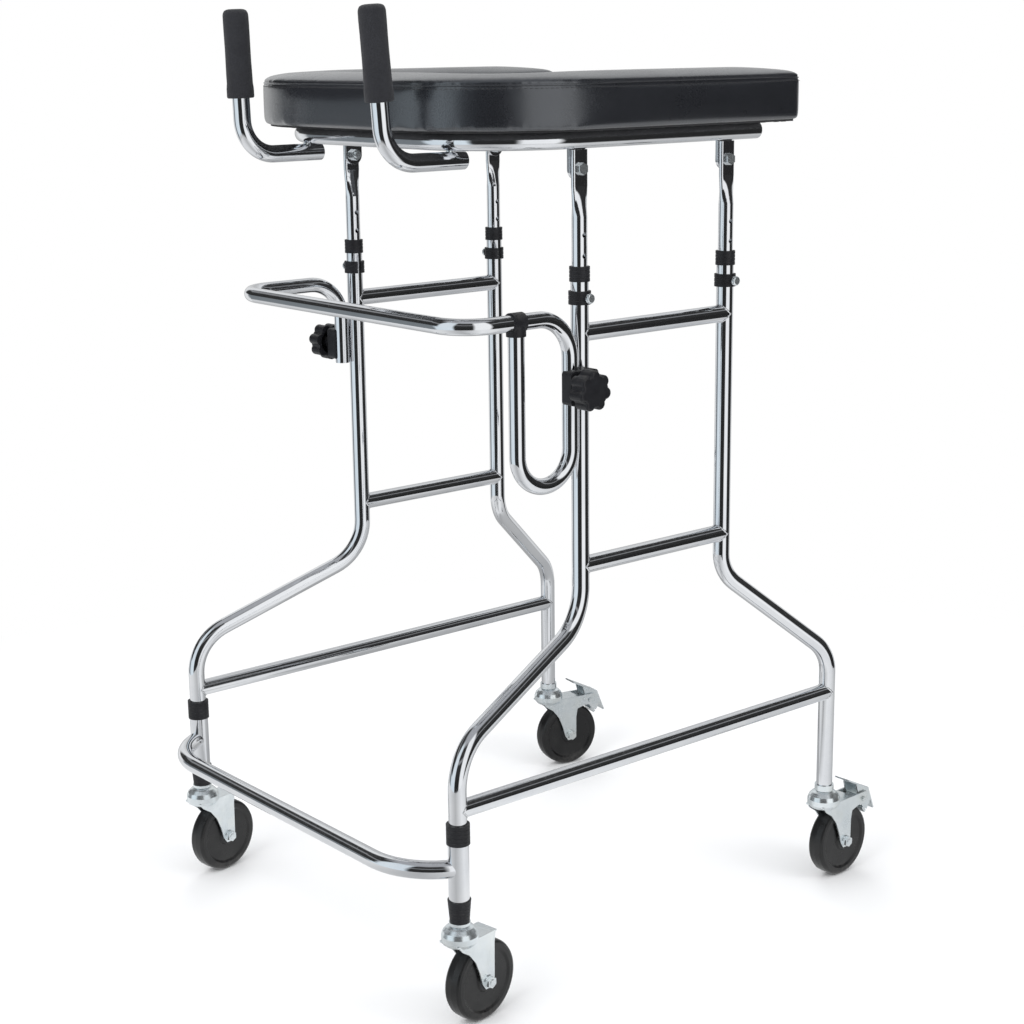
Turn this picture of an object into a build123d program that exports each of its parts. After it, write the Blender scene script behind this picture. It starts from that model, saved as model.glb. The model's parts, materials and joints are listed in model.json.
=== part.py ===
from build123d import *
import math
import os

# Forearm-support walking frame on four swivel casters.
# Units mm, +Z up, floor at z = 0, closed end of the table towards -Y,
# the user walks in from +Y, +X is the user's left hand side.

# ------------------------------------------------------------------ driving dimensions
TUBE_R = 11.0          # side frames, table rail, front bar and handles: 22 mm tube
TUBE_WALL = 1.2
INNER_R = 9.5          # telescoping tube, 19 mm
BOW_R = 10.0           # front bow and hanging loop, 20 mm

DATUM_Y = 14.3         # middle of the overall length, measured from the middle of the legs
POST_X = 234.5         # half spacing of the upright posts
LEG_X = 294.5          # half spacing of the splayed legs
POST_Y = {"front": -76.0, "rear": 174.0}
LEG_Y = {"front": -324.0, "rear": 324.0}
KNEE_TOP_Z = {"front": 446.0, "rear": 463.0}
KNEE_LOW_Z = {"front": 347.0, "rear": 334.0}
KNEE_R = {"front": 68.0, "rear": 55.0}
FOOT_Z = {"front": 137.5, "rear": 142.0}
POST_TOP = 876.0
BAR_Z = {"top": 810.0, "middle": 518.0, "low": 278.0}

PIN_Z = 853.0          # locking pins through the clip rings
HOLE_PITCH = 25.0
HOLE_STEPS = range(-5, 4)
HOLE_R = 3.2
INNER_BOTTOM = 640.0
FLAT_START = 950.0
FLAT_Z = 986.0
FLAT_TOP = 1028.6
FLAT_W = 24.0
FLAT_T = 6.5
EAR_Z = 1006.0
EAR_T = 4.0
EAR_R = 13.0

RAIL_Z = 1040.5        # table rail, a U of 22 mm tube
RAIL_FRONT = -211.5
RAIL_CORNER = 125.5
RAIL_END = 227.0
PAD_HALF = 50.5        # half the width of the cushion's band, centred on the rail
PAD_END = 260.0
PAD_BOTTOM = 1051.5
PAD_TOP = 1117.0
BOARD_T = 9.0
BOARD_INSET = 9.0

HANDLE_X = 150.0
HANDLE_Z = 1018.0
HANDLE_TAIL = -184.0
HANDLE_FRONT = -299.0
HANDLE_LEAN = {1: 4.2, -1: 1.5}   # degrees, forwards
HANDLE_BEND = 45.0
GRIP_LOW = 1089.0
GRIP_TOP = 1197.0
GRIP_R = 16.2

BOW_X = 240.0
BOW_Z = 833.0
BOW_LEG_Y = -97.0
BOW_FRONT_Y = -261.0
BOW_END = {1: 690.0, -1: 721.0}
LOOP_Y = -181.0
LOOP_LOW = 630.0
KNOB_Z = 747.0
KNOB_IN = 259.5
KNOB_OUT = 288.0

SLEEVE_R = 12.6
SLEEVE_Z = (165.5, 236.5)
FRONT_BAR_Z = 205.0
FRONT_BAR_Y = -384.0
FRONT_BAR_CORNER = 268.3   # where the straight runs of the front bar would cross
FRONT_BAR_BEND = 96.0
COLLAR_R = 14.3

WHEEL_R = 51.0
WHEEL_W = 25.0
TRAIL = 33.0
FORK_IN = 13.0
FORK_T = 2.3
AXLE_R = 4.0
PLATE_Z = 112.0
RACE_TOP = 133.0
CASTER_TURN = {"front_left": 98.5, "front_right": 100.8, "rear_right": 79.9, "rear_left": 92.7}
PEDAL_S = 70.0
PEDAL_Z = 104.0

SIDE = {"left": 1, "right": -1}
os.makedirs("parts", exist_ok=True)


# ------------------------------------------------------------------ helpers
def keep(name, shape):
    """Move a finished piece from the leg datum to the frame origin and write it."""
    moved = Pos(0, -DATUM_Y, 0) * shape
    solids = moved.solids()
    out = solids[0] if len(solids) == 1 else Compound(children=list(solids))
    out.label = name
    export_step(out, f"parts/{name}.step")


def bent_path(points, radius):
    """Polyline through points with every inner corner rounded to a radius."""
    pts = [Vector(*p) for p in points]
    radii = radius if isinstance(radius, (list, tuple)) else [radius] * (len(pts) - 2)
    edges, start = [], pts[0]
    for i, r in enumerate(radii):
        a, b, c = pts[i], pts[i + 1], pts[i + 2]
        u, v = (a - b).normalized(), (c - b).normalized()
        half = math.acos(max(-1.0, min(1.0, u.dot(v)))) / 2
        t = r / math.tan(half)
        p, q = b + u * t, b + v * t
        mid_dir = (u + v).normalized()
        centre = b + mid_dir * (r / math.sin(half))
        m = centre - mid_dir * r
        if (p - start).length > 1e-3:
            edges.append(Edge.make_line(start, p))
        edges.append(Edge.make_three_point_arc(p, m, q))
        start = q
    if (pts[-1] - start).length > 1e-3:
        edges.append(Edge.make_line(start, pts[-1]))
    return Wire(edges)


def rod(path, r):
    """Solid round bar along a path."""
    plane = Plane(path @ 0, z_dir=path % 0)
    return sweep(plane * Circle(r), path=path)


def tube(path, r, wall=TUBE_WALL):
    """Round tube along a path."""
    return rod(path, r) - rod(path, r - wall)


def bar(p, q, r):
    """Straight solid cylinder between two points."""
    return rod(Wire([Edge.make_line(Vector(*p), Vector(*q))]), r)


def hex_prism(p, axis, flats, height):
    """Hexagonal head or nut standing on a point."""
    plane = Plane(Vector(*p), z_dir=Vector(*axis))
    return extrude(plane * RegularPolygon(flats / 2, 6, major_radius=False), height)


def ribbed_ring(cx, cy, z0, z1, r0, r1, bore, grooves):
    """Moulded plastic collar with shallow grooves round the outside."""
    h = z1 - z0
    form = Cylinder(r0, h) if r0 == r1 else Cone(r0, r1, h)
    body = Pos(cx, cy, z0 + h / 2) * form
    body = body - Pos(cx, cy, z0 + h / 2) * Cylinder(bore, h + 2)
    for i in range(grooves):
        z = z0 + h * (i + 1) / (grooves + 1)
        r = r0 + (r1 - r0) * (z - z0) / h
        body = body - Pos(cx, cy, z) * Torus(r + 0.25, 0.7)
    return body


# ------------------------------------------------------------------ side frames
def post_path(end, s):
    """Centre line of one upright, from its top to its splayed foot."""
    return bent_path([
        (s * POST_X, POST_Y[end], POST_TOP),
        (s * POST_X, POST_Y[end], KNEE_TOP_Z[end]),
        (s * LEG_X, LEG_Y[end], KNEE_LOW_Z[end]),
        (s * LEG_X, LEG_Y[end], FOOT_Z[end]),
    ], KNEE_R[end])


def post(end, s):
    """One bent upright tube with the hole for its locking pin."""
    body = tube(post_path(end, s), TUBE_R)
    x0, x1 = s * (POST_X + 5), s * (POST_X + 20)
    return body - bar((x0, POST_Y[end], PIN_Z), (x1, POST_Y[end], PIN_Z), HOLE_R)


def cross_bar(level, s):
    """Straight bar between the front and rear tube of one side, ends coped to fit."""
    low = level == "low"
    x = s * (LEG_X if low else POST_X)
    ys = LEG_Y if low else POST_Y
    z = BAR_Z[level]
    line = Wire([Edge.make_line(Vector(x, ys["front"], z), Vector(x, ys["rear"], z))])
    body = tube(line, TUBE_R)
    for end in ys:
        body = body - Pos(x, ys[end], z) * Cylinder(TUBE_R, 60)
    return body


def post_collar(end, s):
    """Guide collar pressed on the top of an upright, the inner tube runs through it."""
    x, y = s * POST_X, POST_Y[end]
    body = ribbed_ring(x, y, 872.5, 890.5, 12.6, 12.6, INNER_R + 0.4, 3)
    return body - Pos(x, y, POST_TOP - 10) * Cylinder(TUBE_R, 20)


def clip_ring(end, s):
    """Split clip ring round the upright with a boss for the locking pin."""
    x, y = s * POST_X, POST_Y[end]
    body = ribbed_ring(x, y, 845.0, 861.0, 13.8, 13.8, 5.0, 2)
    body = body + bar((x, y, PIN_Z), (x + s * 17, y, PIN_Z), 5.5)
    body = body - Pos(x, y, PIN_Z) * Cylinder(TUBE_R, 30)
    body = body - Pos(x - s * 12, y, PIN_Z) * Box(14, 7, 30)
    return body - bar((x, y, PIN_Z), (x + s * 30, y, PIN_Z), HOLE_R)


def locking_pin(end, s):
    """Spring-held locking pin with a round head, its axis across the frame."""
    x, y = s * POST_X, POST_Y[end]
    shaft = bar((x + s * 9.9, y, PIN_Z), (x + s * 17.3, y, PIN_Z), 2.9)
    head = bar((x + s * 17.3, y, PIN_Z), (x + s * 21.8, y, PIN_Z), 6.0)
    head = fillet(head.edges().filter_by(GeomType.CIRCLE).sort_by(
        lambda e: abs(e.center().X))[-1], 2.0)
    return shaft + head


# ------------------------------------------------------------------ table
def inner_tube(end, s):
    """Telescoping tube: adjusting holes below, flattened tongue at the top."""
    x, y = s * POST_X, POST_Y[end]
    body = Pos(x, y, (INNER_BOTTOM + FLAT_START) / 2) * Cylinder(
        INNER_R, FLAT_START - INNER_BOTTOM)
    body = body - Pos(x, y, (INNER_BOTTOM + FLAT_START) / 2 - 20) * Cylinder(
        INNER_R - 1.5, FLAT_START - INNER_BOTTOM)
    for k in HOLE_STEPS:
        z = PIN_Z + HOLE_PITCH * k
        body = body - Pos(x, y, z) * Rot(0, 90, 0) * Cylinder(3.1, 40)
    neck = loft([Plane((x, y, FLAT_START)) * Circle(INNER_R),
                 Plane((x, y, FLAT_Z)) * RectangleRounded(FLAT_T, FLAT_W, 3.0)])
    tongue = extrude(Plane((x, y, FLAT_Z)) * RectangleRounded(FLAT_T, FLAT_W, 3.0),
                     FLAT_TOP - FLAT_Z)
    body = body + neck + tongue
    return body - Pos(x, y, EAR_Z) * Rot(0, 90, 0) * Cylinder(4.2, 40)


def u_path(offset, end, z):
    """Open U with rounded front corners, parallel to the rail's centre line."""
    half, front = POST_X + offset, RAIL_FRONT - offset
    return bent_path([(half, end, z), (half, front, z), (-half, front, z), (-half, end, z)],
                     RAIL_CORNER + offset)


def ear_plate(end, s):
    """Half-round lug welded under the rail, just inboard of the inner tube."""
    x = s * (POST_X - FLAT_T / 2 - EAR_T / 2)
    y = POST_Y[end]
    top = RAIL_Z - 5
    plate = Pos(x, y, (EAR_Z + top) / 2) * Box(EAR_T, 2 * EAR_R, top - EAR_Z)
    plate = plate + Pos(x, y, EAR_Z) * Rot(0, 90, 0) * Cylinder(EAR_R, EAR_T)
    return plate - Pos(x, y, EAR_Z) * Rot(0, 90, 0) * Cylinder(4.2, 40)


def clamp_y():
    """Where the rail passes over a handle."""
    step = HANDLE_X - (POST_X - RAIL_CORNER)
    return RAIL_FRONT + RAIL_CORNER - math.sqrt(RAIL_CORNER ** 2 - step ** 2)


def table_rail():
    """Bent rail with its four lugs and the holes for the handle bolts."""
    path = u_path(0.0, RAIL_END, RAIL_Z)
    body = rod(path, TUBE_R)
    for end in POST_Y:
        for s in SIDE.values():
            body = body + ear_plate(end, s)
    body = body - rod(path, TUBE_R - TUBE_WALL)
    for s in SIDE.values():
        body = body - Pos(s * HANDLE_X, clamp_y(), RAIL_Z) * Cylinder(4.1, 60)
    return body


def lug_bolt(end, s):
    """Hexagon bolt and nut holding an inner tube to its lug."""
    x, y = s * POST_X, POST_Y[end]
    out = s * (POST_X + FLAT_T / 2)
    inn = s * (POST_X - FLAT_T / 2 - EAR_T)
    body = bar((inn - s * 9, y, EAR_Z), (out + s * 2, y, EAR_Z), 4.0)
    body = body + hex_prism((out, y, EAR_Z), (s, 0, 0), 13.0, 5.3)
    return body + hex_prism((inn, y, EAR_Z), (-s, 0, 0), 13.0, 6.5)


def handle_bolt(s):
    """Upright bolt the handle turns on, from the rail's top to a nut inside the handle."""
    x, y = s * HANDLE_X, clamp_y()
    body = bar((x, y, HANDLE_Z - 2), (x, y, PAD_BOTTOM - 0.6), 4.0)
    return body + hex_prism((x, y, HANDLE_Z - 1), (0, 0, 1), 13.0, 5.3)


def u_slab(offset, end, z, height):
    """Plate filling the U outline at an offset from the rail's centre line."""
    path = u_path(offset, end, z)
    outline = Wire(list(path.edges()) + [Edge.make_line(path @ 1, path @ 0)])
    return extrude(Face(outline), height, dir=(0, 0, 1))


def table_board():
    """Plywood board inside the underside of the cushion."""
    half, end = PAD_HALF - BOARD_INSET, PAD_END - BOARD_INSET
    body = u_slab(half, end, PAD_BOTTOM, BOARD_T)
    return body - u_slab(-half, end + 40, PAD_BOTTOM - 1, BOARD_T + 2)


def table_cushion():
    """Upholstered U cushion wrapped round the board."""
    height = PAD_TOP - PAD_BOTTOM
    body = u_slab(PAD_HALF, PAD_END, PAD_BOTTOM, height)
    body = body - u_slab(-PAD_HALF, PAD_END + 40, PAD_BOTTOM - 1, height + 2)
    uprights = body.edges().filter_by(Axis.Z).group_by(Axis.Y)[-1]
    body = fillet(uprights, 10.0)
    body = fillet(body.edges().group_by(Axis.Z)[-1], 8.0)
    body = fillet(body.edges().group_by(Axis.Z)[0], 3.0)
    return body - table_board()


# ------------------------------------------------------------------ handles
def grip_plane(s, z):
    """Plane across the leaning upright of a handle at a height."""
    lean = math.radians(HANDLE_LEAN[s])
    y = HANDLE_FRONT - (z - HANDLE_Z) * math.tan(lean)
    return Plane((s * HANDLE_X, y, z), z_dir=(0, -math.sin(lean), math.cos(lean)))


def handle_tube(s):
    """L-shaped handle: level tail under the rail, upright front end."""
    x = s * HANDLE_X
    path = bent_path([(x, HANDLE_TAIL, HANDLE_Z), (x, HANDLE_FRONT, HANDLE_Z),
                      tuple(grip_plane(s, GRIP_TOP - 9).origin)], HANDLE_BEND)
    return tube(path, TUBE_R, 1.6) - Pos(x, clamp_y(), HANDLE_Z + 10) * Cylinder(4.3, 20)


def handle_grip(s):
    """Closed foam grip pushed over the top of a handle."""
    h = GRIP_TOP - GRIP_LOW
    body = extrude(grip_plane(s, GRIP_LOW) * Circle(GRIP_R), h)
    body = fillet(body.edges().sort_by(Axis.Z)[-1], 5.0)
    body = fillet(body.edges().sort_by(Axis.Z)[0], 2.0)
    return body - extrude(grip_plane(s, GRIP_LOW - 8) * Circle(TUBE_R), h)


# ------------------------------------------------------------------ front bow
def bow():
    """Bent bow in front of the posts, with a clamp stud welded into each leg."""
    path = bent_path([
        (BOW_X, BOW_LEG_Y, BOW_END[1]), (BOW_X, BOW_LEG_Y, BOW_Z),
        (BOW_X, BOW_FRONT_Y, BOW_Z), (-BOW_X, BOW_FRONT_Y, BOW_Z),
        (-BOW_X, BOW_LEG_Y, BOW_Z), (-BOW_X, BOW_LEG_Y, BOW_END[-1]),
    ], [50.0, 45.0, 45.0, 50.0])
    body = tube(path, BOW_R)
    for s in SIDE.values():
        body = body + bar((s * (BOW_X + 8.5), BOW_LEG_Y, KNOB_Z),
                          (s * 283.0, BOW_LEG_Y, KNOB_Z), 4.0)
    return body


def bow_loop():
    """Hanging loop below the left end of the bow."""
    r = (BOW_LEG_Y - LOOP_Y) / 2
    yc, zc = (BOW_LEG_Y + LOOP_Y) / 2, LOOP_LOW + r
    path = Wire([
        Edge.make_line(Vector(BOW_X, BOW_LEG_Y, BOW_END[1]), Vector(BOW_X, BOW_LEG_Y, zc)),
        Edge.make_three_point_arc(Vector(BOW_X, BOW_LEG_Y, zc), Vector(BOW_X, yc, LOOP_LOW),
                                  Vector(BOW_X, LOOP_Y, zc)),
        Edge.make_line(Vector(BOW_X, LOOP_Y, zc), Vector(BOW_X, LOOP_Y, 821.0)),
    ])
    return tube(path, BOW_R)


def loop_clip():
    """Moulded T clip that joins the loop to the bow arm."""
    body = bar((BOW_X, LOOP_Y - 9, BOW_Z), (BOW_X, LOOP_Y + 9, BOW_Z), 12.3)
    body = body + bar((BOW_X, LOOP_Y, 817.0), (BOW_X, LOOP_Y, BOW_Z), 12.0)
    body = body - bar((BOW_X, LOOP_Y, 800.0), (BOW_X, LOOP_Y, 821.0), BOW_R)
    return body - bar((BOW_X, LOOP_Y - 30, BOW_Z), (BOW_X, LOOP_Y + 30, BOW_Z), BOW_R)


def bow_jaw(s):
    """Moulded clamp jaw bearing on a post and on the bow leg beside it."""
    block = Pos(s * 248.5, -88.0, KNOB_Z) * Box(17.0, 44.0, 42.0)
    block = fillet(block.edges().filter_by(Axis.X), 5.0)
    block = block - Pos(s * POST_X, POST_Y["front"], KNOB_Z) * Cylinder(TUBE_R, 60)
    block = block - Pos(s * BOW_X, BOW_LEG_Y, KNOB_Z) * Cylinder(BOW_R, 60)
    block = block - bar((s * 230, BOW_LEG_Y, KNOB_Z), (s * 270, BOW_LEG_Y, KNOB_Z), 4.2)
    solids = sorted(block.solids(), key=lambda b: b.volume)
    return solids[-1]


def clamp_knob(s):
    """Seven-lobed hollow-backed hand knob that turns on the clamp stud."""
    c = Plane((s * 266.0, BOW_LEG_Y, KNOB_Z), z_dir=(s, 0, 0))
    face = Circle(20.5)
    for i in range(7):
        a = 2 * math.pi * i / 7
        face = face + Pos(17.6 * math.cos(a), 17.6 * math.sin(a)) * Circle(7.4)
    body = extrude(c * face, KNOB_OUT - 266.0)
    outer = body.edges().group_by(Axis.X)[-1 if s > 0 else 0]
    body = fillet(outer, 3.5)
    body = body - extrude(c * Circle(17.0), 12.0)
    body = body + extrude(c * Circle(9.5), 13.0) + extrude(c * Circle(9.5), -6.5)
    return body - bar((s * 255.0, BOW_LEG_Y, KNOB_Z), (s * 283.5, BOW_LEG_Y, KNOB_Z), 4.3)


# ------------------------------------------------------------------ front bar
def front_bar():
    """Front bar welded to the two sleeves that turn on the front legs."""
    y = LEG_Y["front"]
    path = bent_path([(LEG_X, y, FRONT_BAR_Z), (FRONT_BAR_CORNER, FRONT_BAR_Y, FRONT_BAR_Z),
                      (-FRONT_BAR_CORNER, FRONT_BAR_Y, FRONT_BAR_Z), (-LEG_X, y, FRONT_BAR_Z)],
                     FRONT_BAR_BEND)
    body = tube(path, TUBE_R)
    mid = sum(SLEEVE_Z) / 2
    h = SLEEVE_Z[1] - SLEEVE_Z[0]
    for s in SIDE.values():
        body = body - Pos(s * LEG_X, y, mid) * Cylinder(SLEEVE_R - 0.3, h)
        ring = Pos(s * LEG_X, y, mid) * Cylinder(SLEEVE_R, h)
        ring = ring - Pos(s * LEG_X, y, mid) * Cylinder(TUBE_R + 0.15, h + 2)
        body = body + ring
    return body


def sleeve_collars(s):
    """The two plastic collars above and below one sleeve."""
    x, y = s * LEG_X, LEG_Y["front"]
    upper = ribbed_ring(x, y, SLEEVE_Z[1], 261.5, COLLAR_R, COLLAR_R, TUBE_R, 4)
    lower = ribbed_ring(x, y, 137.5, SLEEVE_Z[0], 11.9, COLLAR_R, TUBE_R, 5)
    return Compound(children=[upper.solids()[0], lower.solids()[0]])


# ------------------------------------------------------------------ casters
def caster_place(end, side):
    """Leg axis and trail direction of one caster."""
    a = math.radians(CASTER_TURN[f"{end}_{side}"])
    return Pos(SIDE[side] * LEG_X, LEG_Y[end], 0) * Rot(0, 0, math.degrees(a))


def caster_stem(end, side):
    """Plug, thrust flange and kingpin of one caster, in local x = trail."""
    foot = FOOT_Z[end]
    body = Pos(0, 0, foot + 25) * Cylinder(TUBE_R - TUBE_WALL, 50)
    body = body + Pos(0, 0, (foot + 133.6) / 2) * Cylinder(13.0, foot - 133.6)
    body = body + Pos(0, 0, 122) * Cylinder(5.5, 30)
    body = body + Pos(0, 0, 107.6) * Cylinder(9.0, 3.0)
    return caster_place(end, side) * body


def fork_side(rear):
    """Outline of one fork cheek, x along the trail, y up."""
    pts = [(-19, 114), (46, 114), (44, 98), (43.5, 60), (43.2, 49), (38, 42), (28, 42),
           (22.5, 50), (18, 66), (11, 83), (0, 97), (-12, 105)]
    if rear:
        pts = [(-19, 114), (77, 114), (79, 101), (74, 96), (60, 97), (46, 93), (43.5, 80),
               (43.2, 49), (38, 42), (28, 42), (22.5, 50), (18, 66), (11, 83), (0, 97),
               (-12, 105)]
    return pts


def caster_fork(end, side):
    """Pressed swivel housing: ball race, crown plate and two cheeks."""
    rear = end == "rear"
    race = revolve(Plane.XZ * Polygon((0, 114), (22.6, 114), (22.6, 121), (20.5, 126.5),
                                      (16.5, 130.5), (12, RACE_TOP), (0, RACE_TOP),
                                      align=None), Axis.Z)
    dish = Pos(0, 0, 111.5) * Cone(19.0, 22.6, 5.0)
    crown = Pos(12, 0, 113) * Box(62, 2 * (FORK_IN + FORK_T), 2.4)
    crown = crown + Pos(44, 0, 113) * Box(8, 2 * (FORK_IN + FORK_T), 2.4)
    body = race + dish + crown
    cheek = Plane.XZ * Polygon(*fork_side(rear), align=None)
    for sgn in (1, -1):
        a = extrude(cheek, FORK_T, dir=(0, -1, 0))
        y = FORK_IN + FORK_T if sgn > 0 else -FORK_IN
        body = body + Pos(0, y, 0) * a
    body = body - Pos(0, 0, 120) * Cylinder(6.0, 60)
    body = body - Pos(0, 0, 107) * Cylinder(11.0, 9.6)
    body = body - Pos(TRAIL, 0, WHEEL_R) * Rot(90, 0, 0) * Cylinder(AXLE_R + 0.1, 60)
    if rear:
        body = body - Pos(PEDAL_S, 0, PEDAL_Z) * Rot(90, 0, 0) * Cylinder(3.3, 60)
        body = body - Pos(PEDAL_S - 2, 0, 113) * Box(30, 2 * FORK_IN, 10)
    return caster_place(end, side) * body


def caster_wheel(end, side):
    """Solid moulded wheel with a crowned tread and a raised hub."""
    w = WHEEL_W / 2
    half = [(6.3, 0), (6.3, w), (13, w), (15, w - 2.5), (38, w - 2.5), (41, w - 0.4),
            (46.5, w - 0.4), (49.2, w - 1.6), (50.5, w - 4.2), (WHEEL_R, 0)]
    full = half[1:] + [(x, -y) for x, y in reversed(half[1:-1])]
    wheel = revolve(Plane.XY * Polygon(*full, align=None), Axis.Y)
    return caster_place(end, side) * Pos(TRAIL, 0, WHEEL_R) * wheel


def caster_axle(end, side):
    """Axle bolt, spacer sleeve and nut of one wheel."""
    e = FORK_IN + FORK_T
    body = Pos(0, 0, 0) * Rot(90, 0, 0) * Cylinder(AXLE_R, 2 * e + 14)
    body = body + Rot(90, 0, 0) * Cylinder(6.0, 2 * FORK_IN)
    body = body + hex_prism((0, e, 0), (0, 1, 0), 13.0, 5.3)
    body = body + hex_prism((0, -e, 0), (0, -1, 0), 13.0, 6.0)
    for sgn in (1, -1):
        body = body + Pos(0, sgn * (e + 0.7), 0) * Rot(90, 0, 0) * Cylinder(8.0, 1.4)
    return caster_place(end, side) * Pos(TRAIL, 0, WHEEL_R) * body


def brake_pedal(side):
    """Two-finned brake pedal rocking on a pin between the fork horns."""
    w = 2 * FORK_IN - 1.6

    def fin(p, q, t=2.0):
        dx, dz = q[0] - p[0], q[1] - p[1]
        ang = math.degrees(math.atan2(dz, dx))
        mid = Pos((p[0] + q[0]) / 2, 0, (p[1] + q[1]) / 2)
        return mid * Rot(0, -ang, 0) * Box(math.hypot(dx, dz), w, t)

    body = fin((40, 138), (85, 115)) + fin((84.4, 116.2), (98, 82))
    lug = Plane.XZ * Polygon((58, 127.5), (84, 115), (92, 97), (83, 84), (76, 87),
                             (66, 100), (64, 108), align=None)
    for y in (w / 2, -w / 2 + 2.0):
        body = body + Pos(0, y, 0) * extrude(lug, 2.0, dir=(0, -1, 0))
    body = body + Pos(PEDAL_S, 0, PEDAL_Z) * Rot(90, 0, 0) * Cylinder(3.0, 36)
    body = body + Pos(77.9, 0, 84.7) * Rot(0, 53.13, 0) * Box(10, w - 2, 4.0)
    return caster_place("rear", side) * body


# ------------------------------------------------------------------ write every piece
def main():
    """Build and write the whole walking frame."""
    for side, s in SIDE.items():
        for end in POST_Y:
            keep(f"post_{end}_{side}", post(end, s))
            keep(f"post_collar_{end}_{side}", post_collar(end, s))
            keep(f"clip_ring_{end}_{side}", clip_ring(end, s))
            keep(f"locking_pin_{end}_{side}", locking_pin(end, s))
            keep(f"inner_tube_{end}_{side}", inner_tube(end, s))
            keep(f"caster_fork_{end}_{side}", caster_fork(end, side))
            keep(f"caster_wheel_{end}_{side}", caster_wheel(end, side))
            keep(f"caster_axle_{end}_{side}", caster_axle(end, side))
        for level in BAR_Z:
            keep(f"side_bar_{level}_{side}", cross_bar(level, s))
        keep(f"sleeve_collars_{side}", sleeve_collars(s))
        keep(f"bow_jaw_{side}", bow_jaw(s))
        keep(f"clamp_knob_{side}", clamp_knob(s))
        keep(f"handle_tube_{side}", handle_tube(s))
        keep(f"handle_grip_{side}", handle_grip(s))
        keep(f"brake_pedal_{side}", brake_pedal(side))
    keep("caster_stems", Compound(children=[
        caster_stem(end, side).solids()[0] for end in POST_Y for side in SIDE]))
    keep("front_bar", front_bar())
    keep("bow", bow())
    keep("bow_loop", bow_loop())
    keep("loop_clip", loop_clip())
    keep("table_rail", table_rail())
    keep("table_board", table_board())
    keep("table_cushion", table_cushion())
    keep("table_bolts", Compound(children=[
        lug_bolt(end, s).solids()[0] for end in POST_Y for s in SIDE.values()]
        + [handle_bolt(s).solids()[0] for s in SIDE.values()]))


main()
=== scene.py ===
"""Looks of the walking frame: finishes, upholstered cushion, foam grips, welds and small trim."""

from __future__ import annotations

import json
import logging
import math
from dataclasses import dataclass
from enum import Enum
from typing import Callable, Iterable, Sequence

import bmesh
import bpy
from mathutils import Matrix, Vector, noise
from mathutils.bvhtree import BVHTree

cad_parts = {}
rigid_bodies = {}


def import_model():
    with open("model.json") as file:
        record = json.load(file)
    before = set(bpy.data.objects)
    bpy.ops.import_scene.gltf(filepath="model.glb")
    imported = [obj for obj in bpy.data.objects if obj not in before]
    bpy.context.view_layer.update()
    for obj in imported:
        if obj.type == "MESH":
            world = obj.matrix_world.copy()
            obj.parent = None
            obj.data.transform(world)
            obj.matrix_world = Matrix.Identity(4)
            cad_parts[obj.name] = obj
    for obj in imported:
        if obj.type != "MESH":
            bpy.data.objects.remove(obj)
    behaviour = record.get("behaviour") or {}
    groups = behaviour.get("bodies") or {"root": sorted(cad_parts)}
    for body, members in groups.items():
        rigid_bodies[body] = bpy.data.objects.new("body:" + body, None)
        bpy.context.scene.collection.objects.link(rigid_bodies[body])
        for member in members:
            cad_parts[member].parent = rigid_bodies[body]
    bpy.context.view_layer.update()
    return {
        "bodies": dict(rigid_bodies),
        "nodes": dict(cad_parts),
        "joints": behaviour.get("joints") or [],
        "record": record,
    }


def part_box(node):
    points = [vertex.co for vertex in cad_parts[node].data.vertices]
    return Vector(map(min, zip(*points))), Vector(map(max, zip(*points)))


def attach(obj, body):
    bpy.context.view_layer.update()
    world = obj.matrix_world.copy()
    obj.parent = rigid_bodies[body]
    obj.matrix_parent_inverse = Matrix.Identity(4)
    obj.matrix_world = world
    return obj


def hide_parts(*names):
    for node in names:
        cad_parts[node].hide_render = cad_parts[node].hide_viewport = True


LOG = logging.getLogger("walking_frame")
Point = Vector
Colour = tuple[float, float, float]


class Ride(str, Enum):
    """Bodies of the frame that added pieces move with."""

    FRAME = "frame"
    TABLE = "table"


class Slot(str, Enum):
    """Material slots of the record."""

    CHROME = "chrome_tube"
    ZINC = "zinc_steel"
    PLASTIC = "black_plastic"
    FOAM = "foam_grip"
    VINYL = "pad_vinyl"
    BOARD = "plywood"
    WHEEL = "wheel_rubber"


class Side(Enum):
    """The two sides of the frame; the value is the sign of X."""

    LEFT = 1
    RIGHT = -1

    @property
    def word(self) -> str:
        """Name of the side as the nodes spell it."""
        return self.name.lower()


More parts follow.
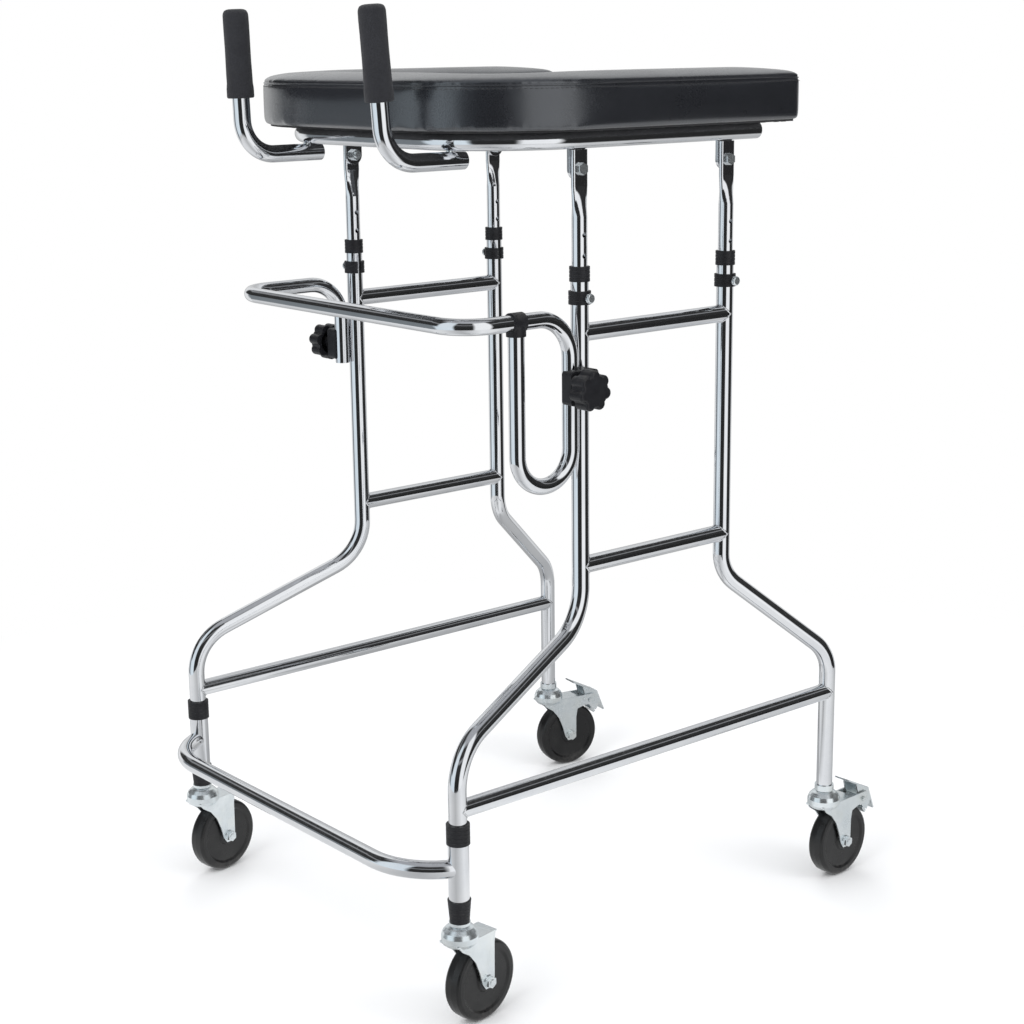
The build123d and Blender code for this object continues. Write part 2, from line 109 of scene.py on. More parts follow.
# ------------------------------------------------------------------ shader tree helper
class Graph:
    """Adds nodes to one shader tree, left to right, and links them."""

    def __init__(self, tree: bpy.types.NodeTree) -> None:
        """Start on an empty tree."""
        self.tree = tree
        self.count = 0

    def add(self, kind: str, values: dict | None = None, **settings: object) -> bpy.types.Node:
        """Add a node.

        Args:
            kind: node type without the "ShaderNode" prefix.
            values: input socket name or index mapped to a plain value or an output socket.
            **settings: node properties to set.

        Returns:
            The new node.
        """
        node = self.tree.nodes.new("ShaderNode" + kind)
        node.location = (180 * self.count, -40 * (self.count % 6))
        self.count += 1
        for name, value in settings.items():
            setattr(node, name, value)
        for key, value in (values or {}).items():
            if isinstance(value, bpy.types.NodeSocket):
                self.tree.links.new(value, node.inputs[key])
            else:
                node.inputs[key].default_value = value
        return node

    def math(self, operation: str, a: object, b: object = 0.0, clamp: bool = False) -> bpy.types.NodeSocket:
        """Maths on two values; returns the result socket."""
        return self.add("Math", {0: a, 1: b}, operation=operation, use_clamp=clamp).outputs[0]

    def spread(self, value: object, low: float, high: float, to_low: float,
               to_high: float) -> bpy.types.NodeSocket:
        """Remap a value smoothly from one range to another.

        Args:
            value: value or socket to remap.
            low: start of its range.
            high: end of its range.
            to_low: result at the start.
            to_high: result at the end.

        Returns:
            The result socket.
        """
        node = self.add("MapRange", {"Value": value, "From Min": low, "From Max": high,
                                     "To Min": to_low, "To Max": to_high})
        node.clamp = True
        return node.outputs["Result"]

    def mix(self, factor: object, a: object, b: object) -> bpy.types.NodeSocket:
        """Blend two colours.

        Args:
            factor: share of the second colour.
            a: first colour.
            b: second colour.

        Returns:
            The colour socket.
        """
        node = self.add("Mix", data_type="RGBA")
        for index, value in ((0, factor), (6, a), (7, b)):
            if isinstance(value, bpy.types.NodeSocket):
                self.tree.links.new(value, node.inputs[index])
            else:
                node.inputs[index].default_value = value if index == 0 else rgba(value)
        return node.outputs[2]

    def noise(self, vector: object, scale: object, detail: float = 3.0,
              rough: float = 0.55) -> bpy.types.NodeSocket:
        """Soft noise over a vector; returns the value socket."""
        return self.add("TexNoise", {"Vector": vector, "Scale": scale, "Detail": detail,
                                     "Roughness": rough}).outputs["Fac"]


    def bearing(self, vector: object, zero: float) -> bpy.types.NodeSocket:
        """Angle of a direction round the vertical, from 0 to 1; half is the zero angle in radians.

        Args:
            vector: direction or place.
            zero: the zero angle, in radians.

        Returns:
            The angle as a share of a full turn.
        """
        turned = self.add("Mapping", {"Vector": vector, "Rotation": (0.0, 0.0, -zero)}).outputs[0]
        parts = self.add("SeparateXYZ", {0: turned})
        angle = self.math("ARCTAN2", parts.outputs["Y"], parts.outputs["X"])
        return self.spread(angle, -math.pi, math.pi, 0.0, 1.0)

    def wheel(self, share: object, steps: Sequence[tuple[float, ...]]) -> bpy.types.NodeSocket:
        """Grey that changes with a bearing; each step has degrees, how light it is and, at will, how blue.

        Args:
            share: bearing as a share of a full turn.
            steps: degrees, lightness and, at will, blueness of each step.

        Returns:
            The colour socket.
        """
        node = self.add("ValToRGB", {0: share})
        ramp = node.color_ramp
        while len(ramp.elements) < len(steps):
            ramp.elements.new(0.5)
        for element, (degrees, value, *cool) in zip(ramp.elements, steps):
            blue = cool[0] if cool else 0.02
            element.position = (degrees + 180.0) / 360.0
            element.color = (value * (1.0 - blue), value * (1.0 - 0.4 * blue), value, 1.0)
        return node.outputs[0]


def rgba(colour: Sequence[float]) -> tuple[float, float, float, float]:
    """Colour with a full alpha."""
    return (colour[0], colour[1], colour[2], 1.0)


# ------------------------------------------------------------------ effects shared by finishes
class Effects:
    """Node groups for surface effects, each built once and placed in many finishes."""

    def __init__(self) -> None:
        """Build every group."""
        self.edge_wear = self._edge_wear()
        self.settled_dust = self._settled_dust()
        self.hand_smears = self._hand_smears()
        self.fine_scratches = self._fine_scratches()
        self.moulded_grain = self._moulded_grain()
        self.leather_grain = self._leather_grain()

    @staticmethod
    def _open(name: str, inputs: dict[str, float], outputs: Iterable[str]) -> tuple[Graph, bpy.types.Node,
              bpy.types.Node]:
        """Make an empty group with float sockets.

        Args:
            name: name of the group.
            inputs: input names and their usual values.
            outputs: output names.

        Returns:
            The graph, the group's input node and its output node.
        """
        tree = bpy.data.node_groups.new(name, "ShaderNodeTree")
        for label, value in inputs.items():
            socket = tree.interface.new_socket(label, in_out="INPUT", socket_type="NodeSocketFloat")
            socket.default_value = value
        for label in outputs:
            tree.interface.new_socket(label, in_out="OUTPUT", socket_type="NodeSocketFloat")
        graph = Graph(tree)
        return graph, tree.nodes.new("NodeGroupInput"), tree.nodes.new("NodeGroupOutput")

    def _edge_wear(self) -> bpy.types.NodeTree:
        """Mask of corners that have been rubbed; broken up by noise.

        Returns:
            The node group.
        """
        g, source, out = self._open("edge wear", {"Radius": 0.0008, "Gain": 6.0, "Scale": 180.0}, ["Mask"])
        place = g.add("TexCoord").outputs["Object"]
        rounded = g.add("Bevel", {"Radius": source.outputs["Radius"]}, samples=4).outputs[0]
        flat = g.add("NewGeometry").outputs["Normal"]
        dot = g.add("VectorMath", {0: rounded, 1: flat}, operation="DOT_PRODUCT").outputs["Value"]
        edge = g.math("MULTIPLY", g.math("SUBTRACT", 1.0, dot), source.outputs["Gain"])
        patchy = g.spread(g.noise(place, source.outputs["Scale"], 4.0), 0.4, 0.62, 0.0, 1.0)
        g.tree.links.new(g.math("MULTIPLY", edge, patchy, clamp=True), out.inputs["Mask"])
        return g.tree

    def _settled_dust(self) -> bpy.types.NodeTree:
        """Mask of fine dust that lies on what faces up.

        Returns:
            The node group.
        """
        g, source, out = self._open("settled dust", {"Scale": 60.0, "Cover": 0.5}, ["Mask"])
        place = g.add("TexCoord").outputs["Object"]
        normal = g.add("NewGeometry").outputs["Normal"]
        up = g.add("SeparateXYZ", {0: normal}).outputs["Z"]
        lying = g.spread(up, 0.25, 1.0, 0.0, 1.0)
        specks = g.spread(g.noise(place, source.outputs["Scale"], 6.0, 0.7), 0.42, 0.7, 0.0, 1.0)
        thin = g.math("MULTIPLY", lying, source.outputs["Cover"])
        g.tree.links.new(g.math("MULTIPLY", thin, specks, clamp=True), out.inputs["Mask"])
        return g.tree

    def _hand_smears(self) -> bpy.types.NodeTree:
        """Slow patches left by wiping and by hands.

        Returns:
            The node group.
        """
        g, source, out = self._open("hand smears", {"Scale": 14.0}, ["Value"])
        place = g.add("TexCoord").outputs["Object"]
        slow = g.noise(place, source.outputs["Scale"], 2.0)
        wide = g.noise(place, g.math("MULTIPLY", source.outputs["Scale"], 4.3), 4.0, 0.6)
        both = g.math("ADD", g.math("MULTIPLY", slow, 0.65), g.math("MULTIPLY", wide, 0.35))
        g.tree.links.new(g.spread(both, 0.36, 0.66, 0.0, 1.0), out.inputs["Value"])
        return g.tree

    def _fine_scratches(self) -> bpy.types.NodeTree:
        """Hairline marks in several directions.

        Returns:
            The node group.
        """
        g, source, out = self._open("fine scratches", {"Scale": 55.0, "Amount": 0.5}, ["Mask"])
        place = g.add("TexCoord").outputs["Object"]
        marks = None
        for turn, stretch in ((0.35, 9.0), (1.25, 13.0)):
            turned = g.add("Mapping", {"Vector": place, "Rotation": (turn, 0.7 * turn, 0.4),
                                       "Scale": (1.0, stretch, 1.6)}).outputs[0]
            field_value = g.noise(turned, source.outputs["Scale"], 2.0, 0.5)
            line = g.spread(g.math("ABSOLUTE", g.math("SUBTRACT", field_value, 0.5)), 0.0, 0.012, 1.0, 0.0)
            marks = line if marks is None else g.math("MAXIMUM", marks, line)
        gate = g.spread(g.noise(place, 23.0, 3.0), 0.5, 0.68, 0.0, 1.0)
        amount = g.math("MULTIPLY", g.math("MULTIPLY", marks, gate), source.outputs["Amount"])
        g.tree.links.new(amount, out.inputs["Mask"])
        return g.tree

    def _moulded_grain(self) -> bpy.types.NodeTree:
        """Spark-eroded grain of moulded plastic and rubber.

        Returns:
            The node group.
        """
        g, source, out = self._open("moulded grain", {"Scale": 1400.0}, ["Height", "Tint"])
        place = g.add("TexCoord").outputs["Object"]
        pits = g.add("TexVoronoi", {"Vector": place, "Scale": source.outputs["Scale"]},
                     feature="SMOOTH_F1").outputs["Distance"]
        rough = g.noise(place, g.math("MULTIPLY", source.outputs["Scale"], 0.8), 3.0)
        height = g.math("ADD", g.math("MULTIPLY", pits, 0.6), g.math("MULTIPLY", rough, 0.4))
        g.tree.links.new(height, out.inputs["Height"])
        g.tree.links.new(g.noise(place, 38.0, 5.0, 0.6), out.inputs["Tint"])
        return g.tree

    def _leather_grain(self) -> bpy.types.NodeTree:
        """Pebbled grain of coated cloth, with creases between the pebbles.

        Returns:
            The node group.
        """
        g, source, out = self._open("leather grain", {"Scale": 620.0}, ["Height", "Crease"])
        place = g.add("TexCoord").outputs["Object"]
        bend = g.add("TexNoise", {"Vector": place, "Scale": 120.0}).outputs["Color"]
        small = g.add("VectorMath", {0: bend, 3: 0.0012}, operation="SCALE").outputs[0]
        wobble = g.add("VectorMath", {0: place, 1: small}, operation="ADD").outputs[0]
        cells = g.add("TexVoronoi", {"Vector": wobble, "Scale": source.outputs["Scale"], "Randomness": 0.92},
                      feature="DISTANCE_TO_EDGE").outputs["Distance"]
        pebble = g.spread(cells, 0.0, 0.16, 0.0, 1.0)
        fine = g.noise(place, g.math("MULTIPLY", source.outputs["Scale"], 2.7), 3.0)
        g.tree.links.new(g.math("ADD", g.math("MULTIPLY", pebble, 0.8), g.math("MULTIPLY", fine, 0.2)),
                         out.inputs["Height"])
        g.tree.links.new(g.math("SUBTRACT", 1.0, pebble), out.inputs["Crease"])
        return g.tree


@dataclass(frozen=True)
class Finish:
    """Base of every finish: a named material around one Principled shader."""

    name: str

    def start(self) -> tuple[bpy.types.Material, Graph, bpy.types.Node]:
        """Make an empty material.

        Returns:
            The material, its graph and its Principled shader.
        """
        material = bpy.data.materials.new(self.name)
        material.use_nodes = True
        material.node_tree.nodes.clear()
        g = Graph(material.node_tree)
        shader = g.add("BsdfPrincipled")
        g.add("OutputMaterial", {"Surface": shader.outputs[0]})
        return material, g, shader

    def effect(self, g: Graph, tree: bpy.types.NodeTree, **values: float) -> bpy.types.Node:
        """Place an effect group with this finish's own values.

        Args:
            g: graph of the material.
            tree: the effect's node group.
            **values: values of the group's inputs, by name.

        Returns:
            The group node.
        """
        node = g.add("Group", node_tree=tree)
        for label, value in values.items():
            node.inputs[label].default_value = value
        return node

    def relief(self, g: Graph, shader: bpy.types.Node, height: object, depth: float, strength: float,
               soften: float = 0.0) -> None:
        """Feed a height into the shader's normal.

        Args:
            g: graph of the material.
            shader: the Principled shader.
            height: height socket, from 0 to 1.
            depth: how deep a height of 1 is, in metres.
            strength: strength of the bump.
            soften: radius that sharp corners are rounded to, in metres; none when 0.
        """
        bump = g.add("Bump", {"Height": height, "Distance": depth, "Strength": strength})
        if soften > 0.0:
            rounded = g.add("Bevel", {"Radius": soften}, samples=4)
            g.tree.links.new(rounded.outputs[0], bump.inputs["Normal"])
        g.tree.links.new(bump.outputs[0], shader.inputs["Normal"])


@dataclass(frozen=True)
class ChromeFinish(Finish):
    """Bright chrome plating over drawn tube."""

    tint: Colour = (0.84, 0.85, 0.87)
    shade: Colour = (0.70, 0.72, 0.76)
    polish: float = 0.035
    haze: float = 0.085
    soften: float = 0.0

    def material(self, effects: Effects) -> bpy.types.Material:
        """Build the plating.

        Args:
            effects: the effects shared by the finishes.

        Returns:
            The finished material.
        """
        material, g, shader = self.start()
        place = g.add("TexCoord").outputs["Object"]
        smears = self.effect(g, effects.hand_smears, Scale=11.0).outputs["Value"]
        marks = self.effect(g, effects.fine_scratches, Scale=48.0, Amount=0.6).outputs["Mask"]
        dust = self.effect(g, effects.settled_dust, Scale=210.0, Cover=0.10).outputs["Mask"]
        plated = g.mix(g.spread(smears, 0.2, 1.0, 0.0, 0.55), self.tint, self.shade)
        dusty = g.mix(dust, plated, (0.62, 0.61, 0.59))
        rough = g.math("ADD", g.spread(smears, 0.0, 1.0, self.polish, self.haze),
                       g.math("MULTIPLY", marks, 0.10))
        rough = g.math("ADD", rough, g.math("MULTIPLY", dust, 0.5), clamp=True)
        g.tree.links.new(dusty, shader.inputs["Base Color"])
        g.tree.links.new(g.math("SUBTRACT", 1.0, g.math("MULTIPLY", dust, 0.7)), shader.inputs["Metallic"])
        g.tree.links.new(rough, shader.inputs["Roughness"])
        drawn = g.math("ADD", g.noise(place, 34.0, 2.0), g.math("MULTIPLY", marks, -0.03))
        self.relief(g, shader, drawn, 0.0006, 0.10, self.soften)
        return material


@dataclass(frozen=True)
class ZincFinish(Finish):
    """Blue passivated zinc on pressed steel."""

    pale: Colour = (0.86, 0.905, 0.925)
    deep: Colour = (0.74, 0.80, 0.83)
    warm: Colour = (0.84, 0.85, 0.78)
    low_rough: float = 0.15
    high_rough: float = 0.28
    metal: float = 0.90

    def material(self, effects: Effects) -> bpy.types.Material:
        """Build the plating.

        Args:
            effects: the effects shared by the finishes.

        Returns:
            The finished material.
        """
        material, g, shader = self.start()
        place = g.add("TexCoord").outputs["Object"]
        clouds = self.effect(g, effects.hand_smears, Scale=24.0).outputs["Value"]
        bloom = g.spread(g.noise(place, 34.0, 3.0, 0.5), 0.5, 0.75, 0.0, 0.35)
        worn = self.effect(g, effects.edge_wear, Radius=0.0006, Gain=7.0, Scale=260.0).outputs["Mask"]
        grime = self.effect(g, effects.settled_dust, Scale=240.0, Cover=0.14).outputs["Mask"]
        marks = self.effect(g, effects.fine_scratches, Scale=95.0, Amount=0.8).outputs["Mask"]
        plated = g.mix(bloom, g.mix(clouds, self.pale, self.deep), self.warm)
        bright = g.mix(worn, plated, (0.90, 0.91, 0.92))
        g.tree.links.new(g.mix(grime, bright, (0.40, 0.38, 0.35)), shader.inputs["Base Color"])
        g.tree.links.new(g.math("SUBTRACT", self.metal, g.math("MULTIPLY", grime, 0.5)),
                         shader.inputs["Metallic"])
        rough = g.math("ADD", g.spread(clouds, 0.0, 1.0, self.low_rough, self.high_rough),
                       g.math("MULTIPLY", marks, 0.15))
        g.tree.links.new(g.math("ADD", rough, g.math("MULTIPLY", grime, 0.4), clamp=True),
                         shader.inputs["Roughness"])
        pressed = g.math("ADD", g.noise(place, 160.0, 2.0), g.math("MULTIPLY", marks, -0.3))
        self.relief(g, shader, pressed, 0.00005, 0.06, 0.0007)
        return material


@dataclass(frozen=True)
class PlasticFinish(Finish):
    """Black moulded plastic."""

    base: Colour = (0.009, 0.009, 0.011)
    bloom: Colour = (0.021, 0.0215, 0.025)
    low_rough: float = 0.38
    high_rough: float = 0.56
    grain: float = 1500.0
    relief_depth: float = 0.00012

    def material(self, effects: Effects) -> bpy.types.Material:
        """Build the plastic.

        Args:
            effects: the effects shared by the finishes.

        Returns:
            The finished material.
        """
        material, g, shader = self.start()
        grain = self.effect(g, effects.moulded_grain, Scale=self.grain)
        worn = self.effect(g, effects.edge_wear, Radius=0.0009, Gain=3.0, Scale=190.0).outputs["Mask"]
        dust = self.effect(g, effects.settled_dust, Scale=170.0, Cover=0.22).outputs["Mask"]
        smears = self.effect(g, effects.hand_smears, Scale=32.0).outputs["Value"]
        body = g.mix(g.spread(grain.outputs["Tint"], 0.35, 0.7, 0.0, 0.7), self.base, self.bloom)
        rubbed = g.mix(worn, body, (0.045, 0.046, 0.05))
        g.tree.links.new(g.mix(dust, rubbed, (0.28, 0.27, 0.25)), shader.inputs["Base Color"])
        rough = g.spread(smears, 0.0, 1.0, self.low_rough, self.high_rough)
        rough = g.math("SUBTRACT", rough, g.math("MULTIPLY", worn, 0.12))
        g.tree.links.new(g.math("ADD", rough, g.math("MULTIPLY", dust, 0.3), clamp=True),
                         shader.inputs["Roughness"])
        shader.inputs["Specular IOR Level"].default_value = 0.32
        self.relief(g, shader, grain.outputs["Height"], self.relief_depth, 0.5, 0.0008)
        return material


@dataclass(frozen=True)
class FoamFinish(Finish):
    """Closed-cell foam of the grips, with painted shade in its pores."""

    base: Colour = (0.009, 0.009, 0.0105)
    cell: Colour = (0.030, 0.031, 0.036)

    def material(self, effects: Effects) -> bpy.types.Material:
        """Build the foam.

        Args:
            effects: the effects shared by the finishes.

        Returns:
            The finished material.
        """
        material, g, shader = self.start()
        place = g.add("TexCoord").outputs["Object"]
        cells = g.add("TexVoronoi", {"Vector": place, "Scale": 1150.0}, feature="F1").outputs["Distance"]
        skin = self.effect(g, effects.hand_smears, Scale=38.0).outputs["Value"]
        dust = self.effect(g, effects.settled_dust, Scale=320.0, Cover=0.30).outputs["Mask"]
        # painted shade: the pits of the cell bump are painted darker than the foam between them
        painted_pore_shade = g.spread(cells, 0.15, 0.62, 1.0, 0.0)
        body = g.mix(g.math("MULTIPLY", painted_pore_shade, 0.75), self.cell, self.base)
        body = g.mix(g.spread(skin, 0.3, 1.0, 0.0, 0.35), body, (0.018, 0.018, 0.021))
        g.tree.links.new(g.mix(dust, body, (0.16, 0.155, 0.15)), shader.inputs["Base Color"])
        g.tree.links.new(g.spread(skin, 0.0, 1.0, 0.78, 0.93), shader.inputs["Roughness"])
        shader.inputs["Sheen Weight"].default_value = 0.10
        shader.inputs["Sheen Roughness"].default_value = 0.5
        shader.inputs["Specular IOR Level"].default_value = 0.22
        height = g.math("ADD", g.math("MULTIPLY", cells, 0.7),
                        g.math("MULTIPLY", g.noise(place, 300.0, 4.0), 0.5))
        self.relief(g, shader, height, 0.0006, 0.7)
        return material


@dataclass(frozen=True)
class VinylFinish(Finish):
    """Black coated cloth of the cushion."""

    base: Colour = (0.0055, 0.006, 0.0085)
    bloom: Colour = (0.012, 0.013, 0.018)

    def material(self, effects: Effects) -> bpy.types.Material:
        """Build the cover.

        Args:
            effects: the effects shared by the finishes.

        Returns:
            The finished material.
        """
        material, g, shader = self.start()
        place = g.add("TexCoord").outputs["Object"]
        grain = self.effect(g, effects.leather_grain, Scale=640.0)
        smears = self.effect(g, effects.hand_smears, Scale=9.0).outputs["Value"]
        dust = self.effect(g, effects.settled_dust, Scale=260.0, Cover=0.10).outputs["Mask"]
        marks = self.effect(g, effects.fine_scratches, Scale=36.0, Amount=0.35).outputs["Mask"]
        body = g.mix(g.spread(smears, 0.0, 1.0, 0.1, 0.6), self.base, self.bloom)
        creased = g.mix(g.math("MULTIPLY", grain.outputs["Crease"], 0.6), body, (0.008, 0.008, 0.010))
        g.tree.links.new(g.mix(dust, creased, (0.20, 0.19, 0.19)), shader.inputs["Base Color"])
        rough = g.math("ADD", g.spread(smears, 0.0, 1.0, 0.26, 0.31), g.math("MULTIPLY", marks, 0.05))
        rough = g.math("ADD", rough, g.math("MULTIPLY", grain.outputs["Crease"], 0.15), clamp=True)
        g.tree.links.new(rough, shader.inputs["Roughness"])
        g.tree.links.new(g.spread(smears, 0.0, 1.0, 1.0, 0.86), shader.inputs["Coat Weight"])
        shader.inputs["Coat Roughness"].default_value = 0.22
        shader.inputs["Coat IOR"].default_value = 1.62
        shader.inputs["Specular IOR Level"].default_value = 1.0
        shader.inputs["Specular Tint"].default_value = (0.86, 0.92, 1.0, 1.0)
        puckers = g.math("MULTIPLY", g.noise(place, 26.0, 2.0), 0.7)
        height = g.math("ADD", grain.outputs["Height"], puckers)
        self.relief(g, shader, height, 0.00018, 0.24)
        return material


@dataclass(frozen=True)
class BackingFinish(Finish):
    """Black non-woven cloth stapled over the board."""

    base: Colour = (0.010, 0.010, 0.011)
    fibre: Colour = (0.045, 0.045, 0.048)

    def material(self, effects: Effects) -> bpy.types.Material:
        """Build the cloth.

        Args:
            effects: the effects shared by the finishes.

        Returns:
            The finished material.
        """
        material, g, shader = self.start()
        place = g.add("TexCoord").outputs["Object"]
        bonds = g.add("TexVoronoi", {"Vector": place, "Scale": 520.0, "Randomness": 0.15},
                      feature="F1").outputs["Distance"]
        fibres = g.noise(place, 900.0, 6.0, 0.75)
        wear = self.effect(g, effects.hand_smears, Scale=16.0).outputs["Value"]
        weave = g.math("ADD", g.math("MULTIPLY", fibres, 0.6), g.math("MULTIPLY", bonds, 0.6))
        body = g.mix(g.spread(weave, 0.3, 0.9, 0.0, 1.0), self.base, self.fibre)
        g.tree.links.new(g.mix(g.math("MULTIPLY", wear, 0.3), body, (0.05, 0.05, 0.052)),
                         shader.inputs["Base Color"])
        g.tree.links.new(g.spread(fibres, 0.2, 0.8, 0.85, 0.98), shader.inputs["Roughness"])
        self.relief(g, shader, weave, 0.0005, 0.6)
        return material


@dataclass(frozen=True)
class WheelFinish(Finish):
    """Black solid tyre and disc of a caster wheel."""

    base: Colour = (0.0055, 0.0055, 0.006)
    scuff: Colour = (0.022, 0.0215, 0.021)

    def material(self, effects: Effects) -> bpy.types.Material:
        """Build the rubber.

        Args:
            effects: the effects shared by the finishes.

        Returns:
            The finished material.
        """
        material, g, shader = self.start()
        place = g.add("TexCoord").outputs["Object"]
        grain = self.effect(g, effects.moulded_grain, Scale=900.0)
        smears = self.effect(g, effects.hand_smears, Scale=55.0).outputs["Value"]
        worn = self.effect(g, effects.edge_wear, Radius=0.0022, Gain=1.6, Scale=90.0).outputs["Mask"]
        low = g.spread(g.add("SeparateXYZ", {0: place}).outputs["Z"], 0.0, 0.020, 0.7, 0.0)
        floor_dirt = g.math("MULTIPLY", low, g.spread(g.noise(place, 150.0, 5.0, 0.7), 0.4, 0.65, 0.0, 1.0))
        body = g.mix(g.spread(grain.outputs["Tint"], 0.4, 0.75, 0.0, 0.5), self.base, self.scuff)
        scuffed = g.mix(g.math("MULTIPLY", worn, 0.6), body, (0.045, 0.044, 0.043))
        g.tree.links.new(g.mix(g.math("MULTIPLY", floor_dirt, 0.5), scuffed, (0.17, 0.16, 0.15)),
                         shader.inputs["Base Color"])
        rough = g.math("ADD", g.spread(smears, 0.0, 1.0, 0.26, 0.40), g.math("MULTIPLY", worn, 0.12))
        g.tree.links.new(g.math("ADD", rough, g.math("MULTIPLY", floor_dirt, 0.3), clamp=True),
                         shader.inputs["Roughness"])
        self.relief(g, shader, grain.outputs["Height"], 0.00015, 0.35, 0.0012)
        return material


@dataclass(frozen=True)
class ThreadFinish(Finish):
    """Twisted black sewing thread."""

    base: Colour = (0.020, 0.020, 0.022)
    lit: Colour = (0.075, 0.076, 0.08)

    def material(self, effects: Effects) -> bpy.types.Material:
        """Build the thread.

        Args:
            effects: the effects shared by the finishes.

        Returns:
            The finished material.
        """
        material, g, shader = self.start()
        place = g.add("TexCoord").outputs["Object"]
        twist = g.noise(place, 2600.0, 2.0)
        wear = self.effect(g, effects.hand_smears, Scale=60.0).outputs["Value"]
        body = g.mix(g.spread(twist, 0.35, 0.65, 0.0, 1.0), self.base, self.lit)
        g.tree.links.new(g.mix(g.math("MULTIPLY", wear, 0.4), body, self.base), shader.inputs["Base Color"])
        g.tree.links.new(g.spread(twist, 0.3, 0.7, 0.45, 0.7), shader.inputs["Roughness"])
        self.relief(g, shader, twist, 0.0002, 0.6)
        return material


@dataclass(frozen=True)
class FloorFinish(Finish):
    """Pale matt floor that runs out into the background; for glossy rays it glows with painted light and
    dark bands, a painted reflection.
    """

    base: Colour = (0.92, 0.92, 0.925)
    clear: float = 0.75
    edge: float = 1.55
    zero: float = -0.693
    # painted reflection: degrees and lightness of the bands the floor glows with for glossy rays
    mirrored: tuple[tuple[float, ...], ...] = (
        (-180, 0.42), (-150, 0.46), (-104, 0.86), (-62, 0.78), (-18, 0.52), (28, 0.93), (62, 0.86),
        (112, 0.52), (180, 0.46))

    def material(self, effects: Effects) -> bpy.types.Material:
        """Build the floor.

        Args:
            effects: the effects shared by the finishes; not used.

        Returns:
            The finished material.
        """
        material, g, shader = self.start()
        place = g.add("TexCoord").outputs["Object"]
        apart = g.add("VectorMath", {0: place}, operation="LENGTH").outputs["Value"]
        far = g.spread(apart, self.clear, self.edge, 0.0, 1.0)
        mottle = g.spread(g.noise(place, 5.0, 3.0), 0.3, 0.7, 0.985, 1.0)
        pale = g.mix(mottle, (0.88, 0.88, 0.885), self.base)
        shiny = g.add("LightPath").outputs["Is Glossy Ray"]
        # painted reflection: glossy rays see a black floor that glows with the light and dark bands
        mirrored = g.wheel(g.bearing(place, self.zero), self.mirrored)
        lit = g.mix(far, pale, (0.0, 0.0, 0.0))
        glow = g.mix(far, (0.0, 0.0, 0.0), (1.0, 1.0, 1.0))
        g.tree.links.new(g.mix(shiny, lit, (0.0, 0.0, 0.0)), shader.inputs["Base Color"])
        g.tree.links.new(g.mix(shiny, glow, mirrored), shader.inputs["Emission Color"])
        shader.inputs["Emission Strength"].default_value = 1.0
        g.tree.links.new(g.spread(mottle, 0.985, 1.0, 0.60, 0.75), shader.inputs["Roughness"])
        shader.inputs["Specular IOR Level"].default_value = 0.0
        return material


class Palette:
    """Every finish of the frame, built once."""

    def __init__(self, effects: Effects) -> None:
        """Build the materials from the shared effects.

        Args:
            effects: the effects shared by the finishes.
        """
        self.chrome = ChromeFinish("bright chrome").material(effects)
        self.chrome_flat = ChromeFinish("chrome on inner tubes", polish=0.05, haze=0.11,
                                        soften=0.0006).material(effects)
        self.weld = ChromeFinish("chrome over weld", polish=0.10, haze=0.20).material(effects)
        self.zinc = ZincFinish("blue zinc").material(effects)
        self.plastic = PlasticFinish("black plastic").material(effects)
        self.knob = PlasticFinish("knob plastic", low_rough=0.30, high_rough=0.45,
                                  grain=1100.0).material(effects)
        self.foam = FoamFinish("grip foam").material(effects)
        self.vinyl = VinylFinish("cushion vinyl").material(effects)
        self.backing = BackingFinish("dust cover cloth").material(effects)
        self.wheel = WheelFinish("wheel rubber").material(effects)
        self.thread = ThreadFinish("sewing thread").material(effects)
        self.floor = FloorFinish("studio floor").material(effects)

    def for_node(self, node: str, slot: str) -> bpy.types.Material:
        """Finish of a CAD node.

        Args:
            node: name of the node.
            slot: its material slot in the record.

        Returns:
            The material it wears.
        """
        if node.startswith("inner_tube") or node == "table_rail":
            return self.chrome_flat
        if node.startswith("clamp_knob"):
            return self.knob
        return {Slot.CHROME: self.chrome, Slot.ZINC: self.zinc, Slot.PLASTIC: self.plastic,
                Slot.FOAM: self.foam, Slot.VINYL: self.vinyl, Slot.BOARD: self.backing,
                Slot.WHEEL: self.wheel}[Slot(slot)]


